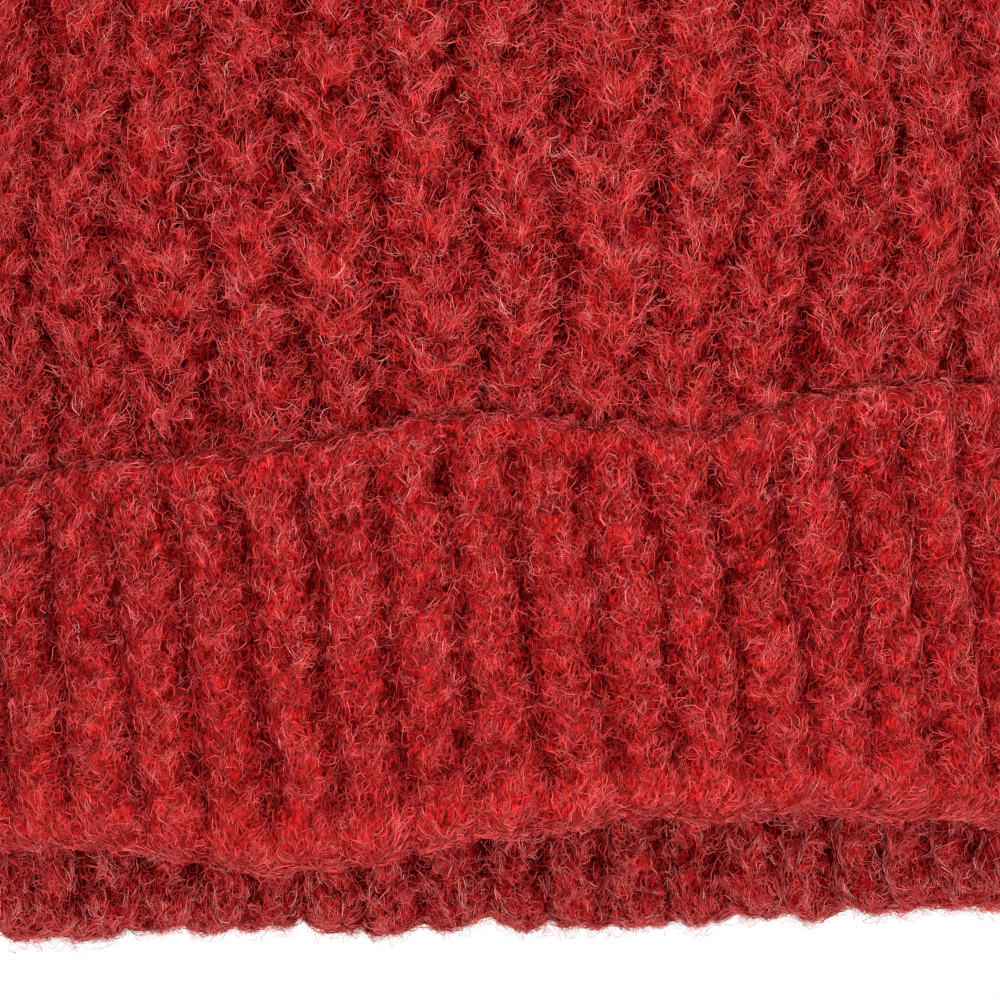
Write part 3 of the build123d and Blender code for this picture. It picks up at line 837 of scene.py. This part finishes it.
# Nickel-plated brass, pressed: satin, with turning marks round its axis and brass showing at worn spots.
MARK, WORN_SPOT = 0.2 * MM, 1.5 * MM
nickel, tree = new_material("nickel_plated_brass_pressed")
place = node(tree, "TexCoord").outputs["Object"]
marks = node(tree, "TexWave", {"Vector": place, "Scale": 0.1 / MARK, "Distortion": 0.4, "Detail": 2.0},
             wave_type="RINGS", rings_direction="Z").outputs["Fac"]
worn = node(tree, "TexNoise", {"Vector": place, "Scale": 1 / WORN_SPOT, "Detail": 3.0}).outputs["Fac"]
plate = ramp(tree, worn, [(0.25, "#c9b98a"), (0.36, "#bdbbb5"), (0.8, "#cfcdc8")])
rough = node(tree, "MapRange", {0: marks, "To Min": 0.24, "To Max": 0.38}).outputs[0]
bump = node(tree, "Bump", {"Height": marks, "Strength": 0.15, "Distance": 0.03 * MM}).outputs[0]
metal = node(tree, "BsdfPrincipled", {
    "Base Color": plate, "Metallic": 1.0, "Roughness": rough, "Normal": bump,
})
node(tree, "OutputMaterial", {0: metal.outputs[0]})
for name in ("stud_rivet", "snap_stud", "snap_socket"):
    dress(name, nickel)

# Hard drawn spring wire: bright, with fine drawing lines.
DRAW_LINE = 0.1 * MM
wire, tree = new_material("hard_drawn_spring_wire")
lines, bright_steel = mottled(tree, DRAW_LINE, "#a8a8a6", "#d6d6d4")
rough = node(tree, "MapRange", {0: lines, "To Min": 0.15, "To Max": 0.3}).outputs[0]
metal = node(tree, "BsdfPrincipled", {"Base Color": bright_steel, "Metallic": 1.0, "Roughness": rough})
node(tree, "OutputMaterial", {0: metal.outputs[0]})
dress("snap_ring_spring", wire)

# ---- Pom base and tie cord -------------------------------------------------------------------
# A moulded nylon button presses on over the socket. A knot in the tie cord sits in its pocket, and the
# cord runs up to a loop that binds the pom's yarn at its middle, so the pom can lean and turn.

# Dyed nylon, moulded: a soft gloss, with a fine grain from the mould and faint clouds in its colour.
MOULD_GRAIN, CLOUD = 0.25 * MM, 2.5 * MM
nylon, tree = new_material("moulded_nylon")
place = node(tree, "TexCoord").outputs["Object"]
grain = node(tree, "TexNoise", {"Vector": place, "Scale": 0.5 / MOULD_GRAIN}).outputs["Fac"]
clouds, nylon_red = mottled(tree, CLOUD, "#6a0c11", "#84151a")
rough = node(tree, "MapRange", {0: clouds, "To Min": 0.5, "To Max": 0.62}).outputs[0]
bump = node(tree, "Bump", {"Height": grain, "Strength": 0.2, "Distance": 0.05 * MM}).outputs[0]
plastic = node(tree, "BsdfPrincipled", {
    "Base Color": nylon_red, "Roughness": rough, "IOR": 1.53, "Normal": bump,
})
node(tree, "OutputMaterial", {0: plastic.outputs[0]})
dress("pom_base_button", nylon)

# Spun polyester cord: a dull silky red, with fine filaments.
FILAMENT = 0.15 * MM
cord_yarn, tree = new_material("twisted_polyester_cord")
filaments, cord_red = mottled(tree, FILAMENT, "#5a0a0e", "#a01c20", Detail=3.0)
bump = node(tree, "Bump", {"Height": filaments, "Strength": 0.4, "Distance": 0.1 * MM}).outputs[0]
cord_shader = node(tree, "BsdfPrincipled", {"Base Color": cord_red, "Roughness": 0.55, "Normal": bump})
node(tree, "OutputMaterial", {0: cord_shader.outputs[0]})

knot_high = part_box("tie_knot")[1]
cord_low, cord_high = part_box("pom_tie_cord")
pom_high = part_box("pom_ball")[1]
CORD_RADIUS = cord_high.y
POM_RADIUS = pom_high.x
POM_CENTRE = np.array([0, 0, pom_high.z - POM_RADIUS])
KNOT_RADIUS = knot_high.x
KNOT_CENTRE = np.array([0, 0, knot_high.z - KNOT_RADIUS])

# The knot: a ball with the cord's turns lying round it as slanting swells.
KNOT_CORNERS = 40
polar = np.pi * np.linspace(0.01, 0.99, KNOT_CORNERS)
turn = circle(KNOT_CORNERS)
wraps = 0.92 + 0.08 * np.abs(np.cos(2.5 * polar[:, None] + np.sin(turn)))
ball = KNOT_RADIUS * np.sin(polar)[:, None] * wraps
knot_middle = KNOT_CENTRE + np.stack([0 * polar, 0 * polar, -KNOT_RADIUS * 0.97 * np.cos(polar)], 1)
knot = tube("cord_knot_wrapped", knot_middle, ball, ball, east, north, KNOT_CORNERS, cord_yarn)
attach(knot, "cord_knot")
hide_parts("tie_knot")

# The cord's stem and loop: three strands laid round each other.
LAY = 5.0 * MM                  # length of one turn of the strands
STEM_ROWS, STEM_CORNERS = 160, 18
stem_z = np.linspace(cord_low.z, POM_CENTRE[2] - (cord_high.x - CORD_RADIUS), STEM_ROWS)
turn = circle(STEM_CORNERS)
strands = 0.82 + 0.18 * np.abs(np.cos(1.5 * (turn + 2 * np.pi * stem_z[:, None] / LAY)))
stem_half = CORD_RADIUS * strands * rounded_ends(np.linspace(0, 1, STEM_ROWS), 0.01)[:, None]
stem_middle = np.stack([0 * stem_z, 0 * stem_z, stem_z], 1)
stem = tube("tie_cord_stem", stem_middle, stem_half, stem_half, east, north, STEM_CORNERS, cord_yarn)
loop = twisted_ring("tie_cord_loop", POM_CENTRE, cord_high.x - CORD_RADIUS, CORD_RADIUS, 3, 5, True,
                    cord_yarn)
for made in (stem, loop):
    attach(made, "pom")
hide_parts("pom_tie_cord")

# ---- Pom pom ---------------------------------------------------------------------------------
# Some hundreds of turns of the same yarn, bound at the middle and cut, then fluffed and trimmed to a ball.
# Each cut end opens into a small tuft of fibres. Under them lies the dense mass of the yarn, dark with
# painted shade.

POM_TUFTS = 1500
POM_FIBRES = 66000              # in two pieces
FIBRE_ROOT = 40 * MM            # distance of a fibre's root from the middle of the pom
FIBRE_WIDTH = 0.36 * MM         # several fibres that cling together
CORE_RADIUS = 45 * MM
CORE_SHAPE = (70, 120)          # rows and corners of its mesh
rng = np.random.default_rng(31)
polar = np.pi * (1 - np.linspace(0.004, 0.996, CORE_SHAPE[0]))
lumps = 1 + 0.025 * soft_noise(CORE_SHAPE, 16, 30, rng)
# The mass is hollowed from below, where the base button stands in it.
hollow = 1 - 0.22 * np.exp(-(((np.pi - polar) / 0.32) ** 2))[:, None]
core_half = CORE_RADIUS * np.sin(polar)[:, None] * lumps * hollow
core_middle = POM_CENTRE + np.stack([0 * polar, 0 * polar, CORE_RADIUS * np.cos(polar) * hollow[:, 0]], 1)
core = tube("pom_yarn_mass", core_middle, core_half, core_half, east, north, CORE_SHAPE[1], knit_yarn)
# Its lie sets the yarn's painted shade, which makes the mass dark.
set_lie(core, np.full(len(core.data.vertices), 0.6))
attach(core, "pom")
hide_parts("pom_ball")

# Tufts stand evenly over the ball: equal steps of height, and the golden angle from one to the next.
step = (np.arange(POM_TUFTS) + 0.5) / POM_TUFTS
tuft_polar = np.arccos(1 - 2 * step)
tuft_turn = np.arange(POM_TUFTS) * math.pi * (3 - math.sqrt(5))
tufts = np.stack([
    np.sin(tuft_polar) * np.cos(tuft_turn), np.sin(tuft_polar) * np.sin(tuft_turn), np.cos(tuft_polar)
], 1)
tufts = unit(tufts + rng.normal(0, 0.02, tufts.shape))
BUTTON_ROOM = math.radians(14)          # about straight down, where the base button stands in the yarn
tufts = tufts[tufts[:, 2] > -math.cos(BUTTON_ROOM)]
tuft_shade = rng.normal(0, 0.09, len(tufts))
tuft_reach = rng.normal(0, 0.7 * MM, len(tufts))
for part in range(2):
    which = rng.integers(0, len(tufts), POM_FIBRES // 2)
    way = tufts[which]
    count = len(which)
    splayed = unit(way + rng.normal(0, 0.038, way.shape))
    # The button pushes the fibres about it aside, to the edge of its room.
    slant = np.hypot(splayed[:, 0], splayed[:, 1])
    pushed = (splayed[:, 2] < 0) & (slant < math.sin(BUTTON_ROOM))
    splayed[pushed, :2] *= (math.sin(BUTTON_ROOM) / slant[pushed])[:, None]
    splayed[pushed, 2] = -math.cos(BUTTON_ROOM)
    root = POM_CENTRE + unit(way + rng.normal(0, 0.02, way.shape)) * FIBRE_ROOT
    # The tips are cut unevenly, but closely underneath, and hang a little longer about the button.
    trimmed = smooth_step(-splayed[:, 2], 0.55, 0.9)
    uneven = POM_RADIUS + 0.3 * MM + tuft_reach[which] + rng.normal(0, 0.8 * MM, count)
    close = POM_RADIUS - 0.5 * MM + rng.uniform(-1, 0.3, count) * MM
    tip_reach = uneven * (1 - trimmed) + close * trimmed
    tip_reach += 1.3 * MM * smooth_step(-splayed[:, 2], 0.93, 0.965)
    tip = POM_CENTRE + splayed * tip_reach[:, None]
    middle = (0.22 * root + 0.78 * tip) + rng.normal(0, 0.6 * MM, way.shape)
    paths = np.stack([root, middle, tip], 1)
    flat = unit(np.cross(splayed, rng.normal(0, 1, way.shape)))
    sideways = np.repeat(flat[:, None, :], 3, 1)
    width = FIBRE_WIDTH * rng.uniform(0.7, 1.2, count)
    shade = np.clip(0.55 + tuft_shade[which] + rng.normal(0, 0.11, count), 0.02, 0.97)
    made = strips(f"pom_cut_yarn_{part + 1}", paths, sideways, width, shade, body_fibre)
    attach(made, "pom")
